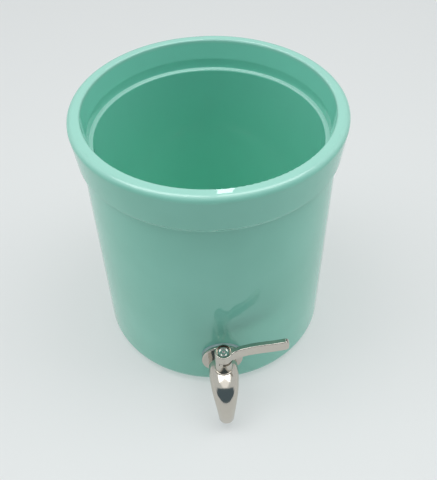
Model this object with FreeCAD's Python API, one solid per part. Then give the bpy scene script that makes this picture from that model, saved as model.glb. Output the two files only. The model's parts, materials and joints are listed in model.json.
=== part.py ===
"""Ceramic crock fermenter with a quarter-turn stainless tap near its foot.

Frame: +Z up, origin at the centre of the foot ring on the surface that the crock stands on. The tap faces -Y.
A point's "reach" is its distance from the crock's axis towards -Y, so a reach of 100 is y = -100. Millimetres.

The crock is one glazed vessel: a straight wall that jogs outward near the top, which leaves a tapered collar
outside and a ledge inside for a lid. The tap is a ball valve: a flanged, threaded shank passes through the
wall and screws into a cast body, and holds a ball between two plastic seats. A stem, sealed by two O-rings
and kept down by a bonnet nut, turns the ball. The lever sits on the stem's square and is held by a screw.
"""

import FreeCAD
import Part

import math
import os

Vector = FreeCAD.Vector
UP = Vector(0, 0, 1)
OUT = Vector(0, -1, 0)
SIDE = Vector(1, 0, 0)

# Crock
RIM_R = 110.0
HEIGHT = 232.0
RIM_ROUND = 4.8
RIM_INNER_ROUND = 1.5
COLLAR_FOOT_R = 106.9
COLLAR_H = 31.8
COLLAR_STEP_H = 4.6
COLLAR_ROUND = 1.8
COLLAR_COVE = 2.4
WALL_R = 103.2
BASE_ROUND = 11.0
FOOT_INNER_R = 80.0
FOOT_RECESS_R = 78.0
FOOT_RECESS_H = 2.5
FOOT_EDGE_ROUND = 0.8
FLOOR_Z = 11.5
FLOOR_COVE = 12.0
INNER_R = 92.6
MOUTH_R = 99.3
LID_R = 96.2
LID_SEAT_H = 9.0
LID_SEAT_BLEND = 8.0
LEDGE_Z = HEIGHT - 25.9
LEDGE_ROUND = 1.2
LEDGE_COVE = 0.8
TAP_HOLE_R = 8.75

# Tap axis, and the stack that clamps the tap to the wall
TAP_Z = 42.6
THREAD_R = 8.0
SHANK_BORE_R = 5.0
SHANK_CHAMFER = 0.8
FLANGE_R = 17.8
FLANGE_T = 2.5
FLANGE_ROUND = 1.0
OUTER_GASKET_T = 2.2
OUTER_GASKET_R = 17.6
INNER_GASKET_R = 15.0
INNER_GASKET_T = 4.0
WASHER_R = 14.0
WASHER_T = 1.2
NUT_FLATS = 24.0
NUT_T = 5.5
NUT_CHAMFER = 1.0
THREAD_GAP = 0.05
RING_GAP = 0.15
SHANK_PAST_NUT = 5.4

VALVE_REACH = WALL_R + 19.1
GASKET_FRONT = WALL_R + OUTER_GASKET_T
BODY_BACK = GASKET_FRONT + FLANGE_T
INNER_GASKET_BACK = INNER_R - INNER_GASKET_T
WASHER_BACK = INNER_GASKET_BACK - WASHER_T
NUT_BACK = WASHER_BACK - NUT_T
SHANK_BACK_REACH = NUT_BACK - SHANK_PAST_NUT
SHANK_FRONT_REACH = VALVE_REACH - 8.0

# Spout: a horizontal barrel that bends down round a centre straight below the valve
BEND_R = 23.0
BEND_Z = TAP_Z - BEND_R
OUTLET_REACH = VALVE_REACH + BEND_R
LIP_Z = 11.5
LIP_R = 6.6
LIP_ROUND = 0.7
# Half width and half height of the body along its path: by reach before the bend, and by angle in it
BARREL_SECTIONS = [(BODY_BACK, 11.8, 10.6), (VALVE_REACH - 7.0, 12.4, 10.8)]
BEND_SECTIONS = [(0.0, 12.5, 10.7), (30.0, 11.5, 10.2), (60.0, 9.2, 8.9), (90.0, 7.3, 7.3)]
PASSAGE_R = 5.0
PASSAGE_BEND_REACH = VALVE_REACH + 8.0
PASSAGE_BEND_R = OUTLET_REACH - PASSAGE_BEND_REACH
SEAL_R = 9.3
SEAL_T = 1.4

# Ball and seats
BALL_R = 7.0
BALL_BORE_R = 3.8
SLOT_W = 3.2
SLOT_DEPTH = 2.1
CHAMBER_R = 7.3
SEAT_R = 7.2
SEAT_BORE_R = 4.6
SEAT_FACE = 3.5
SEAT_GAP = 0.05

# Neck, stem and bonnet nut, from the bottom up
NECK_R = 7.1
NECK_TOP_Z = TAP_Z + 21.5
NECK_FOOT_R = 7.7
NECK_FOOT_Z = TAP_Z + 10.6
NECK_FOOT_ROUND = 0.5
NECK_BORE_R = 4.65
NUT_SEAT_R = 5.9
NUT_SEAT_Z = TAP_Z + 16.6
STEM_R = 4.5
STEM_BOTTOM_Z = TAP_Z + 7.4
TANG_W = 3.0
TANG_R = 3.2
TANG_BOTTOM_Z = TAP_Z + 5.1
COLLAR_R = 5.6
STEM_COLLAR_T = 1.4
RING_MINOR_R = 0.62
RING_MAJOR_R = 3.97
RING_ZS = {"lower_stem_o_ring": TAP_Z + 9.8, "upper_stem_o_ring": TAP_Z + 13.6}
GROOVE_R = 3.3
GROOVE_H = 1.7
SHAFT_R = 4.0
SQUARE_Z = TAP_Z + 23.4
SQUARE_FLATS = 5.8
STEM_TOP_Z = TAP_Z + 28.2
THRUST_T = 0.5
BONNET_TOP_Z = TAP_Z + 21.4
BONNET_SLOT_W = 1.4
BONNET_SLOT_DEPTH = 1.0

# The lug on the neck's rim and the notch in the hub's skirt, which meet at both ends of a quarter turn
STOP_LUG_H = 2.6
STOP_LUG_ARC = (-122.0, -98.0)
HUB_NOTCH_H = 3.0
HUB_NOTCH_ARC = (-124.0, -6.0)

# Lever
HUB_R = 7.3
HUB_BOTTOM_Z = TAP_Z + 21.9
HUB_TOP_Z = TAP_Z + 33.4
HUB_ROUND = 0.7
HUB_POCKET_R = 6.2
HUB_WEB_Z = TAP_Z + 28.7
ARM_T = 4.3
ARM_H = 10.8
ARM_LENGTH = 53.5
ARM_ROOT_FILLET = 6.0
ARM_EDGE_ROUND = 0.7
ARM_TIP_ROUND = 3.0
# Height of the arm's top edge above the tap's axis along its length: level at the hub, an S-bend, then a rise
ARM_TOP = [(0.0, 32.9), (6.5, 33.0), (11.5, 35.4), (17.0, 37.5), (36.0, 40.6), (ARM_LENGTH, 43.3)]
SCREW_HEAD_R = 5.1
SCREW_HEAD_H = 3.1
SCREW_R = 1.95
SCREW_BOTTOM_Z = TAP_Z + 20.0
SCREW_HOLE_R = 2.0
SCREW_CHAMFER = 0.5
SCREW_DISH_R = 3.9
SCREW_DISH_DEPTH = 1.4
SCREW_BOSS_R = 2.6
SOCKET_FLATS = 2.5
SOCKET_DEPTH = 1.8
SPRING_WASHER_R = 5.0
SPRING_WASHER_T = 0.7
SPRING_WASHER_SPLIT = 0.8


def rounded_wire(corners):
    """Closed wire in the XZ plane through (x, z, radius) corners, each rounded by a tangent arc."""
    points = [Vector(x, 0, z) for x, z, _ in corners]
    ends = []
    arcs = []
    for i, (_, _, radius) in enumerate(corners):
        corner = points[i]
        back = (points[i - 1] - corner).normalize()
        ahead = (points[(i + 1) % len(points)] - corner).normalize()
        if not radius:
            ends.append((corner, corner))
            arcs.append(None)
            continue
        half = back.getAngle(ahead) / 2
        run = radius / math.tan(half)
        middle = corner + (back + ahead).normalize() * (radius / math.sin(half) - radius)
        ends.append((corner + back * run, corner + ahead * run))
        arcs.append(Part.Arc(ends[-1][0], middle, ends[-1][1]).toShape())
    edges = []
    for i, arc in enumerate(arcs):
        if arc:
            edges.append(arc)
        edges.append(Part.LineSegment(ends[i][1], ends[(i + 1) % len(ends)][0]).toShape())
    return Part.Wire(edges)


def revolved(corners, centre=Vector(0, 0, 0)):
    """Solid of revolution about a vertical axis, from (radius, z, rounding) corners."""
    solid = Part.Face(rounded_wire(corners)).revolve(Vector(0, 0, 0), UP, 360)
    solid.translate(centre)
    return solid


def rod(radius, back, front):
    """Cylinder on the tap's axis between two reaches."""
    return Part.makeCylinder(radius, front - back, Vector(0, -back, TAP_Z), OUT)


def ring(outer, inner, back, front):
    """Plain ring on the tap's axis."""
    return rod(outer, back, front).cut(rod(inner, back - 1, front + 1))


def post(radius, low, high, reach=VALVE_REACH):
    """Upright cylinder at a reach, on the valve's axis unless told otherwise."""
    return Part.makeCylinder(radius, high - low, Vector(0, -reach, low), UP)


def block(width, depth, low, high):
    """Upright box centred on the valve's axis."""
    return Part.makeBox(width, depth, high - low, Vector(-width / 2, -VALVE_REACH - depth / 2, low))


def hexagon(flats, length, base, direction):
    """Hexagonal prism."""
    corner_r = flats / math.sqrt(3)
    angles = [math.radians(60 * k) for k in range(7)]
    points = [Vector(corner_r * math.cos(a), corner_r * math.sin(a), 0) for a in angles]
    prism = Part.Face(Part.makePolygon(points)).extrude(Vector(0, 0, length))
    prism.Placement = FreeCAD.Placement(base, FreeCAD.Rotation(UP, direction))
    return prism


def sector(inner, outer, low, high, arc):
    """Part of an upright ring on the valve's axis, between two angles counted from +X."""
    start, end = arc
    centre = Vector(0, -VALVE_REACH, low)
    spin = FreeCAD.Rotation(UP, start)
    wedge = Part.makeCylinder(outer, high - low, Vector(0, 0, 0), UP, end - start)
    wedge.Placement = FreeCAD.Placement(centre, spin)
    return wedge.cut(post(inner, low - 1, high + 1))


def round_edges(solid, radius, wanted):
    """Fillets the edges that wanted(edge) picks."""
    return solid.makeFillet(radius, [edge for edge in solid.Edges if wanted(edge)])


def is_circle(edge, radius=None):
    """True for a round edge, of that radius if one is given."""
    curve = edge.Curve
    return isinstance(curve, Part.Circle) and (radius is None or abs(curve.Radius - radius) < 1e-6)


def crock():
    """The glazed vessel, with its lid ledge, foot ring and tap hole."""
    collar_z = HEIGHT - COLLAR_H
    vessel = revolved([
        (0, FLOOR_Z, 0),
        (INNER_R, FLOOR_Z, FLOOR_COVE),
        (INNER_R, LEDGE_Z, LEDGE_ROUND),
        (LID_R, LEDGE_Z, LEDGE_COVE),
        (LID_R, LEDGE_Z + LID_SEAT_H, LID_SEAT_BLEND),
        (MOUTH_R, HEIGHT, RIM_INNER_ROUND),
        (RIM_R, HEIGHT, RIM_ROUND),
        (COLLAR_FOOT_R, collar_z, COLLAR_ROUND),
        (WALL_R, collar_z - COLLAR_STEP_H, COLLAR_COVE),
        (WALL_R, 0, BASE_ROUND),
        (FOOT_INNER_R, 0, FOOT_EDGE_ROUND),
        (FOOT_RECESS_R, FOOT_RECESS_H, FOOT_EDGE_ROUND),
        (0, FOOT_RECESS_H, 0),
    ])
    return vessel.cut(rod(TAP_HOLE_R, INNER_R - 5, WALL_R + 5))


def outer_gasket():
    """Silicone gasket with a flat front, pressed to the wall's curve behind."""
    blank = ring(OUTER_GASKET_R, THREAD_R + RING_GAP, WALL_R - 5, GASKET_FRONT)
    return blank.cut(Part.makeCylinder(WALL_R, HEIGHT))


def inner_gasket():
    """Silicone gasket on the inside of the wall, pressed to its curve."""
    blank = ring(INNER_GASKET_R, THREAD_R + RING_GAP, INNER_GASKET_BACK, INNER_R + 5)
    return blank.common(Part.makeCylinder(INNER_R, HEIGHT))


def flange_plate():
    """Round stainless plate between the outer gasket and the valve body."""
    plate = ring(FLANGE_R, THREAD_R + RING_GAP, GASKET_FRONT, BODY_BACK)
    front = lambda edge: is_circle(edge, FLANGE_R) and edge.Curve.Center.y < -BODY_BACK + 0.1
    return round_edges(plate, FLANGE_ROUND, front)


def threaded_shank():
    """Threaded tube through the wall; its front end screws into the body and holds the rear seat."""
    tube = ring(THREAD_R, SHANK_BORE_R, SHANK_BACK_REACH, SHANK_FRONT_REACH)
    outer = [edge for edge in tube.Edges if is_circle(edge, THREAD_R)]
    return tube.makeChamfer(SHANK_CHAMFER, outer)


def backing_washer():
    """Flat stainless washer under the lock nut."""
    return ring(WASHER_R, THREAD_R + RING_GAP, WASHER_BACK, INNER_GASKET_BACK)


def lock_nut():
    """Thin hexagonal nut that clamps the tap to the wall, its corners chamfered both sides."""
    prism = hexagon(NUT_FLATS, NUT_T, Vector(0, -NUT_BACK, TAP_Z), OUT)
    corner_r = NUT_FLATS / math.sqrt(3)
    turned = rod(corner_r, NUT_BACK, WASHER_BACK)
    turned = turned.makeChamfer(NUT_CHAMFER, [edge for edge in turned.Edges if is_circle(edge)])
    return prism.common(turned).cut(rod(THREAD_R + THREAD_GAP, NUT_BACK - 1, WASHER_BACK + 1))


def shank_seal_ring():
    """Ring in the body's back face that seals the shank against the flange plate."""
    return ring(SEAL_R - THREAD_GAP, THREAD_R + THREAD_GAP, BODY_BACK, BODY_BACK + SEAL_T)


def spout_section(half_width, half_height, centre, heading):
    """Oval or round section of the body, square to its path, with its width along X."""
    if half_width > half_height:
        side = Vector(half_width, 0, 0)
        rise = heading.cross(SIDE) * half_height
        curve = Part.Ellipse(centre + side, centre + rise, centre)
    else:
        curve = Part.Circle(centre, heading, half_width)
        curve.XAxis = SIDE
    return Part.Wire([curve.toShape()])


def spout_blank():
    """Outside of the barrel and spout, lofted through the sections."""
    wires = []
    for reach, half_width, half_height in BARREL_SECTIONS:
        wires.append(spout_section(half_width, half_height, Vector(0, -reach, TAP_Z), OUT))
    for degrees, half_width, half_height in BEND_SECTIONS:
        turn = math.radians(degrees)
        centre = Vector(0, -VALVE_REACH - BEND_R * math.sin(turn), BEND_Z + BEND_R * math.cos(turn))
        heading = Vector(0, -math.cos(turn), -math.sin(turn))
        wires.append(spout_section(half_width, half_height, centre, heading))
    lip = Vector(0, -OUTLET_REACH, LIP_Z)
    wires.append(spout_section(LIP_R, LIP_R, lip, Vector(0, 0, -1)))
    blank = Part.makeLoft(wires, True, False)
    return round_edges(blank, LIP_ROUND, lambda edge: abs(edge.BoundBox.ZMax - LIP_Z) < 0.01)


def passage():
    """Waterway from the ball's chamber round to the outlet."""
    start = Vector(0, -PASSAGE_BEND_REACH, TAP_Z)
    mouth = Part.Face(Part.Wire([Part.Circle(start, OUT, PASSAGE_R).toShape()]))
    pivot = Vector(0, -PASSAGE_BEND_REACH, TAP_Z - PASSAGE_BEND_R)
    bend = mouth.revolve(pivot, SIDE, 90)
    drop = post(PASSAGE_R, LIP_Z - 1, TAP_Z - PASSAGE_BEND_R, OUTLET_REACH)
    return bend.fuse(drop)


def valve_body():
    """Cast stainless body: barrel, spout and neck in one, bored for the shank, ball and stem."""
    foot = post(NECK_FOOT_R, TAP_Z, NECK_FOOT_Z)
    foot = round_edges(foot, NECK_FOOT_ROUND, lambda edge: is_circle(edge) and edge.Curve.Center.z > TAP_Z + 1)
    solid = spout_blank().fuse(foot).fuse(post(NECK_R, TAP_Z, NECK_TOP_Z))
    lug = sector(NUT_SEAT_R + 0.15, NECK_R - 0.1, NECK_TOP_Z - 0.5, NECK_TOP_Z + STOP_LUG_H, STOP_LUG_ARC)
    solid = solid.fuse(lug)
    bores = [
        rod(THREAD_R + 0.1, BODY_BACK - 1, SHANK_FRONT_REACH),
        rod(SEAL_R, BODY_BACK - 1, BODY_BACK + SEAL_T),
        rod(CHAMBER_R, SHANK_FRONT_REACH - 1, PASSAGE_BEND_REACH),
        passage(),
        post(NECK_BORE_R, TAP_Z, NUT_SEAT_Z + 1),
        post(NUT_SEAT_R, NUT_SEAT_Z, NECK_TOP_Z + 5),
    ]
    for bore in bores:
        solid = solid.cut(bore)
    return solid


def seat(side):
    """Plastic ring that the ball bears on; side is -1 behind the ball and 1 in front."""
    near = VALVE_REACH + side * SEAT_FACE
    far = SHANK_FRONT_REACH if side < 0 else PASSAGE_BEND_REACH
    blank = ring(SEAT_R, SEAT_BORE_R, min(near, far) + SEAT_GAP, max(near, far) - SEAT_GAP)
    return blank.cut(Part.makeSphere(BALL_R + SEAT_GAP, Vector(0, -VALVE_REACH, TAP_Z)))


def valve_ball():
    """Ball with its bore across the flow, which is shut, and a slot on top for the stem's tang."""
    ball = Part.makeSphere(BALL_R, Vector(0, -VALVE_REACH, TAP_Z))
    bore = Part.makeCylinder(BALL_BORE_R, 4 * BALL_R, Vector(-2 * BALL_R, -VALVE_REACH, TAP_Z), SIDE)
    slot = block(SLOT_W, 4 * BALL_R, TAP_Z + BALL_R - SLOT_DEPTH, TAP_Z + 2 * BALL_R)
    return ball.cut(bore).cut(slot)


def valve_stem():
    """Stem with a tang below, two O-ring grooves, a collar, and a square and screw hole for the lever."""
    collar_low = NUT_SEAT_Z + 0.1
    collar_high = collar_low + STEM_COLLAR_T
    square = block(SQUARE_FLATS, SQUARE_FLATS, SQUARE_Z - 0.5, STEM_TOP_Z)
    stem = post(STEM_R, STEM_BOTTOM_Z, collar_high)
    tang = block(TANG_W, 3 * STEM_R, TANG_BOTTOM_Z, STEM_BOTTOM_Z + 1)
    stem = stem.fuse(tang.common(post(TANG_R, TANG_BOTTOM_Z, STEM_BOTTOM_Z + 1)))
    stem = stem.fuse(post(COLLAR_R, collar_low, collar_high))
    stem = stem.fuse(post(SHAFT_R, collar_high - 0.5, SQUARE_Z))
    stem = stem.fuse(square.common(post(SHAFT_R, SQUARE_Z - 0.5, STEM_TOP_Z)))
    for middle in RING_ZS.values():
        low, high = middle - GROOVE_H / 2, middle + GROOVE_H / 2
        stem = stem.cut(post(STEM_R + 1, low, high).cut(post(GROOVE_R, low - 1, high + 1)))
    return stem.cut(post(SCREW_HOLE_R, SCREW_BOTTOM_Z - 0.5, STEM_TOP_Z + 1)).removeSplitter()


def stem_o_ring(middle):
    """Rubber O-ring in one of the stem's grooves."""
    return Part.makeTorus(RING_MAJOR_R, RING_MINOR_R, Vector(0, -VALVE_REACH, middle), UP)


def thrust_washer():
    """Plastic washer between the stem's collar and the bonnet nut."""
    low = NUT_SEAT_Z + 0.1 + STEM_COLLAR_T + 0.05
    return post(NUT_SEAT_R - RING_GAP, low, low + THRUST_T).cut(post(SHAFT_R + 0.1, low - 1, low + 5))


def bonnet_nut():
    """Threaded ring in the neck that keeps the stem down, with two spanner slots."""
    low = NUT_SEAT_Z + 0.1 + STEM_COLLAR_T + 0.05 + THRUST_T + 0.05
    nut = post(NUT_SEAT_R - THREAD_GAP, low, BONNET_TOP_Z).cut(post(SHAFT_R + 0.1, low - 1, BONNET_TOP_Z + 1))
    return nut.cut(block(3 * NUT_SEAT_R, BONNET_SLOT_W, BONNET_TOP_Z - BONNET_SLOT_DEPTH, BONNET_TOP_Z + 1))


def arm_plan():
    """Arm seen from above: a bar with a flat end, flared into the hub by a fillet on each side."""
    half = ARM_T / 2
    # Where the root fillet meets the hub's circle and the bar's side
    flare_y = half + ARM_ROOT_FILLET
    flare_x = math.sqrt((HUB_R + ARM_ROOT_FILLET) ** 2 - flare_y ** 2)
    share = HUB_R / (HUB_R + ARM_ROOT_FILLET)
    edges = []
    for side in (1, -1):
        on_hub = Vector(flare_x * share, side * flare_y * share, 0)
        on_bar = Vector(flare_x, side * half, 0)
        bisector = (on_hub + on_bar) * 0.5 - Vector(flare_x, side * flare_y, 0)
        middle = Vector(flare_x, side * flare_y, 0) + bisector.normalize() * ARM_ROOT_FILLET
        edges.append(Part.Arc(on_hub, middle, on_bar).toShape())
        edges.append(Part.LineSegment(on_bar, Vector(ARM_LENGTH, side * half, 0)).toShape())
        edges.append(Part.LineSegment(Vector(0, 0, 0), on_hub).toShape())
    edges.append(Part.LineSegment(Vector(ARM_LENGTH, half, 0), Vector(ARM_LENGTH, -half, 0)).toShape())
    face = Part.Face(Part.Wire(Part.__sortEdges__(edges)))
    face.translate(Vector(0, -VALVE_REACH, HUB_BOTTOM_Z))
    return face


def arm_side():
    """Arm seen from the front: a band of even height whose top edge follows ARM_TOP, with its tip's corners round."""
    curve = Part.BSplineCurve()
    curve.interpolate([Vector(x, 0, TAP_Z + z) for x, z in ARM_TOP])
    top = curve.toShape()
    bottom = top.copy()
    bottom.translate(Vector(0, 0, -ARM_H))
    ends = []
    for x, z in (ARM_TOP[0], ARM_TOP[-1]):
        ends.append(Part.LineSegment(Vector(x, 0, TAP_Z + z), Vector(x, 0, TAP_Z + z - ARM_H)).toShape())
    face = Part.Face(Part.Wire(Part.__sortEdges__([top, bottom] + ends)))
    face.translate(Vector(0, -VALVE_REACH + HUB_R, 0))
    slab = face.extrude(Vector(0, -2 * HUB_R, 0))
    return round_edges(slab, ARM_TIP_ROUND, lambda edge: edge.BoundBox.XMin > ARM_LENGTH - 0.1 and
                       edge.BoundBox.YLength > HUB_R)


def lever_handle():
    """Hub with a rising arm, a square hole, a screw pocket, and a skirt notch that limits the turn."""
    hub = post(HUB_R, HUB_BOTTOM_Z, HUB_TOP_Z)
    hub = round_edges(hub, HUB_ROUND, lambda edge: is_circle(edge) and edge.Curve.Center.z > HUB_TOP_Z - 0.1)
    arm = arm_plan().extrude(Vector(0, 0, 3 * ARM_H)).common(arm_side())
    arm = round_edges(arm, ARM_EDGE_ROUND, lambda edge: edge.BoundBox.XMax > HUB_R + ARM_ROOT_FILLET)
    lever = hub.fuse(arm).removeSplitter()
    lever = lever.cut(post(SHAFT_R + 0.1, HUB_BOTTOM_Z - 1, SQUARE_Z))
    lever = lever.cut(block(SQUARE_FLATS + 0.1, SQUARE_FLATS + 0.1, SQUARE_Z - 1, HUB_WEB_Z + 1))
    lever = lever.cut(post(HUB_POCKET_R, HUB_WEB_Z, HUB_TOP_Z + 10))
    notch = sector(NUT_SEAT_R - 0.1, HUB_R + 1, HUB_BOTTOM_Z - 1, HUB_BOTTOM_Z + HUB_NOTCH_H, HUB_NOTCH_ARC)
    return lever.cut(notch)


def spring_washer():
    """Split spring washer under the screw's head."""
    washer = post(SPRING_WASHER_R, HUB_WEB_Z, HUB_WEB_Z + SPRING_WASHER_T)
    washer = washer.cut(post(SCREW_R + 0.15, HUB_WEB_Z - 1, HUB_WEB_Z + 2))
    split = block(SPRING_WASHER_SPLIT, 2 * SPRING_WASHER_R, HUB_WEB_Z - 1, HUB_WEB_Z + 2)
    split.translate(Vector(0, SPRING_WASHER_R, 0))
    return washer.cut(split)


def handle_screw():
    """Broad-headed screw that holds the lever on the stem: a dished top round a boss with a hexagonal socket."""
    low = HUB_WEB_Z + SPRING_WASHER_T
    high = low + SCREW_HEAD_H
    head = post(SCREW_HEAD_R, low, high)
    head = head.makeChamfer(SCREW_CHAMFER, [edge for edge in head.Edges if is_circle(edge) and
                                            edge.Curve.Center.z > high - 0.1])
    dish = post(SCREW_DISH_R, high - SCREW_DISH_DEPTH, high + 1).cut(post(SCREW_BOSS_R, low, high + 1))
    screw = head.cut(dish).fuse(post(SCREW_R, SCREW_BOTTOM_Z, low))
    socket = hexagon(SOCKET_FLATS, SOCKET_DEPTH + 1, Vector(0, -VALVE_REACH, high - SOCKET_DEPTH), UP)
    return screw.cut(socket)


def all_parts():
    """Every node's name and solid."""
    parts = {
        "crock": crock(),
        "outer_gasket": outer_gasket(),
        "inner_gasket": inner_gasket(),
        "flange_plate": flange_plate(),
        "threaded_shank": threaded_shank(),
        "shank_seal_ring": shank_seal_ring(),
        "backing_washer": backing_washer(),
        "lock_nut": lock_nut(),
        "valve_body": valve_body(),
        "rear_seat": seat(-1),
        "front_seat": seat(1),
        "valve_ball": valve_ball(),
        "valve_stem": valve_stem(),
        "thrust_washer": thrust_washer(),
        "bonnet_nut": bonnet_nut(),
        "lever_handle": lever_handle(),
        "spring_washer": spring_washer(),
        "handle_screw": handle_screw(),
    }
    for name, middle in RING_ZS.items():
        parts[name] = stem_o_ring(middle)
    return parts


def main():
    """Writes one STEP file per node."""
    os.makedirs("parts", exist_ok=True)
    for name, shape in all_parts().items():
        if not shape.isValid() or len(shape.Solids) != 1:
            raise ValueError(f"{name} is not one valid solid")
        solid = shape.Solids[0]
        solid.exportStep(f"parts/{name}.step")
        print(f"{name}: {solid.Volume / 1000:.3f} cm3")


main()
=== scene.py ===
"""Looks of the ceramic crock fermenter: glaze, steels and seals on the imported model, on a softly lit table."""

import json
import math

import bpy
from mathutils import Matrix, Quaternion, Vector


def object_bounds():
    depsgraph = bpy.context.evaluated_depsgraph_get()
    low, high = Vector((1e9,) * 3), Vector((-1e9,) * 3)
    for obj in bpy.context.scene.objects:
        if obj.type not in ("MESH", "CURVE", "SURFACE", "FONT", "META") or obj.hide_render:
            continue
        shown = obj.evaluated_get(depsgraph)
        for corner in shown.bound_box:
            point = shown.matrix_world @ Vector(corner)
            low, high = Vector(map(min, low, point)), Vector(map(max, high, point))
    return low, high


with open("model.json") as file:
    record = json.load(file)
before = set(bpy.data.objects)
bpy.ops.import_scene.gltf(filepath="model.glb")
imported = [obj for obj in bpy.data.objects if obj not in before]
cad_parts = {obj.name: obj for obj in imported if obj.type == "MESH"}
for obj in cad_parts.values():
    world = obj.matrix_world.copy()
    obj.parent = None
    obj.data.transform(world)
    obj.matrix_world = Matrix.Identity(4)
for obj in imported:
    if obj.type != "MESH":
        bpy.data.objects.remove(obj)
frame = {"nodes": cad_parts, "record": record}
cad_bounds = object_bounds()

# Camera: where it looks, from how far, and how it is turned
AIM = Vector((0.00552, 0.0, 0.08044))
DISTANCE = 0.6113
HEADING = math.radians(3.5)
ELEVATION = math.radians(45.76)
ROLL = math.radians(1.333)
LENS_MM = 48.71
SENSOR_MM = 36.0

# Where the glaze colour changes, in metres: the rim's top, paler from glaze break and painted sheen; the lid
# ledge, with a painted highlight band; and the radii between outside and inside, where the inside is painted
# lighter in place of light
RIM_TOP = cad_bounds[1][2]
LEDGE = next(m for m in frame["record"]["mounts"] if m["name"] == "lid_ledge")["pos_m"][2]
LEDGE_HIGHLIGHT_BAND = 0.0006
INSIDE_LIGHT_FADE = (0.1005, 0.0985)

# The room's light by direction: where each region fades in, round from the front, upwards or by height
DIM_SIDE_DEG = (80, 68)
DIM_TOP_DEG = (59, 56)
BEHIND_DEG = (115, 140)
OVERHEAD_Z = (0.80, 0.88)
PALE_SIDES = (0.74, 0.78, 0.79, 1)
DARK_BEHIND = (0.16, 0.17, 0.17, 1)
BRIGHT_OVERHEAD = (1.26, 1.27, 1.27, 1)
DIM_FRONT = (0.105, 0.15, 0.18, 1)
BACKDROP = (0.74, 0.77, 0.77, 1)


def new_material(name, **inputs):
    """A material whose shader has the named inputs set. Returns it with its node tree and shader."""
    material = bpy.data.materials.new(name)
    material.use_nodes = True
    shader = material.node_tree.nodes["Principled BSDF"]
    for key, value in inputs.items():
        shader.inputs[key.replace("_", " ")].default_value = value
    return material, material.node_tree, shader


def add(tree, kind, inputs=None, **settings):
    """Adds a node. Inputs are set by name or number, and a socket is linked instead of set."""
    node = tree.nodes.new(kind)
    for key, value in settings.items():
        setattr(node, key, value)
    for key, value in (inputs or {}).items():
        if isinstance(value, bpy.types.NodeSocket):
            tree.links.new(value, node.inputs[key])
        else:
            node.inputs[key].default_value = value
    return node


def position(tree):
    """The point's place in the row frame, in metres."""
    return add(tree, "ShaderNodeTexCoord").outputs["Object"]


def stretched(tree, scale):
    """The point's place, scaled differently along each axis."""
    return add(tree, "ShaderNodeMapping", {"Vector": position(tree), "Scale": scale}).outputs["Vector"]


def noise(tree, size, detail=3.0, roughness=0.5, vector=None):
    """Noise from 0 to 1 whose blobs are about size metres across."""
    inputs = {"Vector": vector or position(tree), "Scale": 1 / size, "Detail": detail, "Roughness": roughness}
    return add(tree, "ShaderNodeTexNoise", inputs).outputs["Fac"]


def remap(tree, value, low, high, out_low=0.0, out_high=1.0):
    """Takes low..high to out_low..out_high, and no further."""
    inputs = {"Value": value, "From Min": low, "From Max": high, "To Min": out_low, "To Max": out_high}
    return add(tree, "ShaderNodeMapRange", inputs).outputs["Result"]


def mix_colour(tree, factor, first, second):
    """Blend of two colours, each a tuple or a socket."""
    node = add(tree, "ShaderNodeMix", data_type="RGBA")
    for socket, value in (("Factor_Float", factor), ("A_Color", first), ("B_Color", second)):
        target = next(i for i in node.inputs if i.identifier == socket)
        if isinstance(value, bpy.types.NodeSocket):
            tree.links.new(value, target)
        else:
            target.default_value = value
    return next(o for o in node.outputs if o.identifier == "Result_Color")


def bump(tree, height, distance, normal=None, strength=1.0):
    """Bump whose height runs from 0 to distance metres."""
    inputs = {"Height": height, "Distance": distance, "Strength": strength}
    if normal:
        inputs["Normal"] = normal
    return add(tree, "ShaderNodeBump", inputs).outputs["Normal"]


def link(tree, socket, shader, name):
    """Joins a socket to one of the shader's inputs."""
    tree.links.new(socket, shader.inputs[name])


def arithmetic(tree, operation, *values):
    """One Math node over sockets or numbers."""
    return add(tree, "ShaderNodeMath", dict(enumerate(values)), operation=operation).outputs[0]


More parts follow.
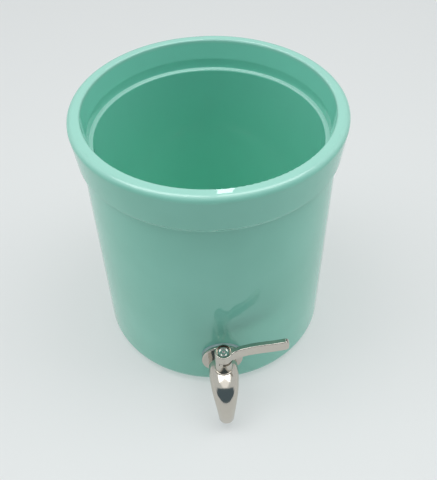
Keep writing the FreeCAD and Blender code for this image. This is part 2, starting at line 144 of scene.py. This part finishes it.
def glaze_material():
    """Glossy mint glaze: painted lighter and more saturated inside in place of light, paler on the rim from
    glaze break and painted sheen, a painted highlight along the ledge, and wiped off the foot ring.
    """
    material, tree, shader = new_material("mint_glaze", IOR=1.6)
    cloud = remap(tree, noise(tree, 0.07, detail=2.0), 0.35, 0.65)
    mint = mix_colour(tree, cloud, (0.235, 0.622, 0.485, 1), (0.258, 0.662, 0.525, 1))
    speck = remap(tree, noise(tree, 0.0022, detail=1.0), 0.70, 0.78)
    mint = mix_colour(tree, arithmetic(tree, "MULTIPLY", speck, 0.25), mint, (0.30, 0.69, 0.57, 1))
    place = add(tree, "ShaderNodeSeparateXYZ", {"Vector": position(tree)})
    height = place.outputs["Z"]
    flat = {"X": place.outputs["X"], "Y": place.outputs["Y"]}
    level = add(tree, "ShaderNodeCombineXYZ", flat).outputs[0]
    radius = add(tree, "ShaderNodeVectorMath", {0: level}, operation="LENGTH").outputs["Value"]
    # Painted light: inside the crock the glaze is painted lighter and more saturated, standing in for the light
    # and bounce inside it.
    inside = remap(tree, radius, *INSIDE_LIGHT_FADE)
    mint = mix_colour(tree, inside, mint, (0.255, 0.715, 0.57, 1))
    # Painted highlight: a thin pale band along the lid ledge, in place of light catching its rounded edge.
    ledge = arithmetic(tree, "COMPARE", height, LEDGE - 0.0002, LEDGE_HIGHLIGHT_BAND)
    ledge = arithmetic(tree, "MULTIPLY", ledge, inside)
    # Paler glaze on the rim's top: partly the glaze breaking thin on the edge, partly a painted sheen standing
    # in for the rim's white reflection. The ledge's painted highlight band takes the same pale colour.
    rim = remap(tree, height, RIM_TOP - 0.0035, RIM_TOP - 0.0005)
    mint = mix_colour(tree, arithmetic(tree, "MAXIMUM", ledge, rim), mint, (0.37, 0.70, 0.60, 1))
    edge = noise(tree, 0.006, detail=3.0)
    line = arithmetic(tree, "MULTIPLY_ADD", edge, -0.0016, height)
    bare = remap(tree, line, 0.0002, -0.0001)
    grit = remap(tree, noise(tree, 0.0009, detail=2.0), 0.4, 0.7)
    clay = mix_colour(tree, grit, (0.62, 0.55, 0.46, 1), (0.50, 0.42, 0.34, 1))
    link(tree, mix_colour(tree, bare, mint, clay), shader, "Base Color")
    gloss = remap(tree, noise(tree, 0.02), 0.3, 0.7, 0.015, 0.035)
    link(tree, arithmetic(tree, "MULTIPLY_ADD", bare, 0.7, gloss), shader, "Roughness")
    rings = noise(tree, 0.006, detail=2.0, vector=stretched(tree, (0.04, 0.04, 1.0)))
    peel = noise(tree, 0.012, detail=2.0)
    normal = bump(tree, rings, 0.00004)
    normal = bump(tree, peel, 0.00012, normal)
    link(tree, normal, shader, "Normal")
    return material


def steel_material(name, colour, roughness, wave, scratch=(1.0, 1.0, 1.0)):
    """Polished stainless: faint casting waves, and fine scratches drawn out along an axis."""
    material, tree, shader = new_material(name, Metallic=1.0)
    scratches = noise(tree, 0.0006, detail=4.0, vector=stretched(tree, scratch))
    smear = noise(tree, 0.006)
    tint = mix_colour(tree, smear, colour, tuple(0.92 * c for c in colour[:3]) + (1,))
    link(tree, tint, shader, "Base Color")
    both = arithmetic(tree, "MULTIPLY", scratches, smear)
    link(tree, remap(tree, both, 0.1, 0.45, roughness, 2.2 * roughness), shader, "Roughness")
    normal = bump(tree, noise(tree, 0.004, detail=1.0), wave)
    normal = bump(tree, scratches, 0.000004, normal)
    link(tree, normal, shader, "Normal")
    return material


def soft_material(name, colour, roughness, grain):
    """Rubber or plastic: mottled colour, satin skin and a fine grain."""
    material, tree, shader = new_material(name)
    mottle = noise(tree, 0.003)
    darker = tuple(0.8 * c for c in colour[:3]) + (1,)
    link(tree, mix_colour(tree, mottle, colour, darker), shader, "Base Color")
    link(tree, remap(tree, mottle, 0.3, 0.7, roughness, roughness + 0.12), shader, "Roughness")
    link(tree, bump(tree, noise(tree, 0.0005), grain), shader, "Normal")
    return material


def dress_nodes():
    """Gives each CAD node its finish, by the record's material slot."""
    finishes = {
        "glaze": glaze_material(),
        "polished_steel": steel_material("polished_steel", (0.60, 0.56, 0.50, 1), 0.07, 0.00006),
        "lever_steel": steel_material("lever_steel", (0.60, 0.56, 0.50, 1), 0.10, 0.00005, (0.1, 1, 1)),
        "screw_steel": steel_material("screw_steel", (0.66, 0.65, 0.63, 1), 0.14, 0.00002, (1, 1, 0.2)),
        "turned_steel": steel_material("turned_steel", (0.66, 0.65, 0.62, 1), 0.18, 0.00002, (1, 0.1, 1)),
        "silicone": soft_material("grey_silicone", (0.33, 0.44, 0.45, 1), 0.42, 0.00002),
        "ptfe": soft_material("white_ptfe", (0.80, 0.80, 0.78, 1), 0.38, 0.00001),
        "black_rubber": soft_material("black_nitrile", (0.02, 0.02, 0.022, 1), 0.45, 0.00001),
    }
    slots = {s["node"]: s["material_slot"] for s in frame["record"]["subparts"]}
    for name, node in frame["nodes"].items():
        for place in node.material_slots:
            place.material = finishes[slots[name]]


def floor():
    """Pale table lit softly from within, which lets a camera below it see through."""
    size = 3.0
    mesh = bpy.data.meshes.new("floor")
    corners = [(-size, -size, 0), (size, -size, 0), (size, size, 0), (-size, size, 0)]
    mesh.from_pydata(corners, [], [(0, 1, 2, 3)])
    table = bpy.data.objects.new("floor", mesh)
    bpy.context.scene.collection.objects.link(table)
    material, tree, shader = new_material("lit_table", Roughness=0.6, Emission_Strength=0.38)
    shader.inputs["Base Color"].default_value = (0.395, 0.40, 0.40, 1)
    shader.inputs["Emission Color"].default_value = (0.965, 1.0, 1.0, 1)
    facing = add(tree, "ShaderNodeNewGeometry").outputs["Backfacing"]
    clear = add(tree, "ShaderNodeBsdfTransparent").outputs[0]
    mixed = add(tree, "ShaderNodeMixShader", {0: facing, 1: shader.outputs[0], 2: clear}).outputs[0]
    tree.links.new(mixed, tree.nodes["Material Output"].inputs["Surface"])
    mesh.materials.append(material)


def area_light(name, place, aim, size, power, colour=(1, 1, 1), spread=180):
    """Rectangular softbox that faces aim."""
    lamp = bpy.data.lights.new(name, "AREA")
    lamp.shape = "RECTANGLE"
    lamp.size, lamp.size_y = size
    lamp.energy = power
    lamp.color = colour
    lamp.spread = math.radians(spread)
    holder = bpy.data.objects.new(name, lamp)
    holder.location = place
    holder.rotation_mode = "QUATERNION"
    holder.rotation_quaternion = (Vector(aim) - Vector(place)).to_track_quat("-Z", "Y")
    bpy.context.scene.collection.objects.link(holder)
    return holder


def studio():
    """Surroundings bright overhead and dim in front of the tap. The camera sees a plain backdrop."""
    world = bpy.data.worlds.new("studio")
    bpy.context.scene.world = world
    world.use_nodes = True
    tree = world.node_tree
    direction = add(tree, "ShaderNodeTexCoord").outputs["Generated"]
    apart = add(tree, "ShaderNodeSeparateXYZ", {"Vector": direction})
    front = arithmetic(tree, "MULTIPLY", apart.outputs["Y"], -1.0)
    turn = arithmetic(tree, "ABSOLUTE", arithmetic(tree, "ARCTAN2", apart.outputs["X"], front))
    ahead = remap(tree, turn, *map(math.radians, DIM_SIDE_DEG))
    rise = arithmetic(tree, "ARCTAN2", apart.outputs["Z"], front)
    low = remap(tree, rise, *map(math.radians, DIM_TOP_DEG))
    dim = arithmetic(tree, "MULTIPLY", ahead, low)
    behind = remap(tree, turn, *map(math.radians, BEHIND_DEG))
    pale = mix_colour(tree, behind, PALE_SIDES, DARK_BEHIND)
    high = remap(tree, apart.outputs["Z"], *OVERHEAD_Z)
    pale = mix_colour(tree, high, pale, BRIGHT_OVERHEAD)
    colour = mix_colour(tree, dim, pale, DIM_FRONT)
    seen = add(tree, "ShaderNodeLightPath").outputs["Is Camera Ray"]
    colour = mix_colour(tree, seen, colour, BACKDROP)
    tree.links.new(colour, tree.nodes["Background"].inputs["Color"])
    tree.nodes["Background"].inputs["Strength"].default_value = 1.0
    area_light("overhead_left", (-0.46, -0.05, 1.25), (0, 0, 0.1), (0.5, 0.9), 3.9)
    area_light("overhead_right", (0.46, -0.05, 1.25), (0, 0, 0.1), (0.5, 0.9), 3.6)
    area_light("far_lamp", (0.088, 1.02, 1.249), (0, 0, 0.2), (0.055, 0.11), 0.13)


def camera():
    """Looks down at the crock from in front, as in the hand-held view."""
    data = bpy.data.cameras.new("camera")
    data.lens = LENS_MM
    data.sensor_width = SENSOR_MM
    data.clip_start = 0.01
    holder = bpy.data.objects.new("camera", data)
    level = math.cos(ELEVATION)
    forward = Vector((math.sin(HEADING) * level, math.cos(HEADING) * level, -math.sin(ELEVATION)))
    holder.location = AIM - forward * DISTANCE
    holder.rotation_mode = "QUATERNION"
    holder.rotation_quaternion = forward.to_track_quat("-Z", "Y") @ Quaternion((0, 0, 1), -ROLL)
    bpy.context.scene.collection.objects.link(holder)
    bpy.context.scene.camera = holder


bpy.context.scene.view_settings.view_transform = "Standard"
dress_nodes()
floor()
studio()
camera()
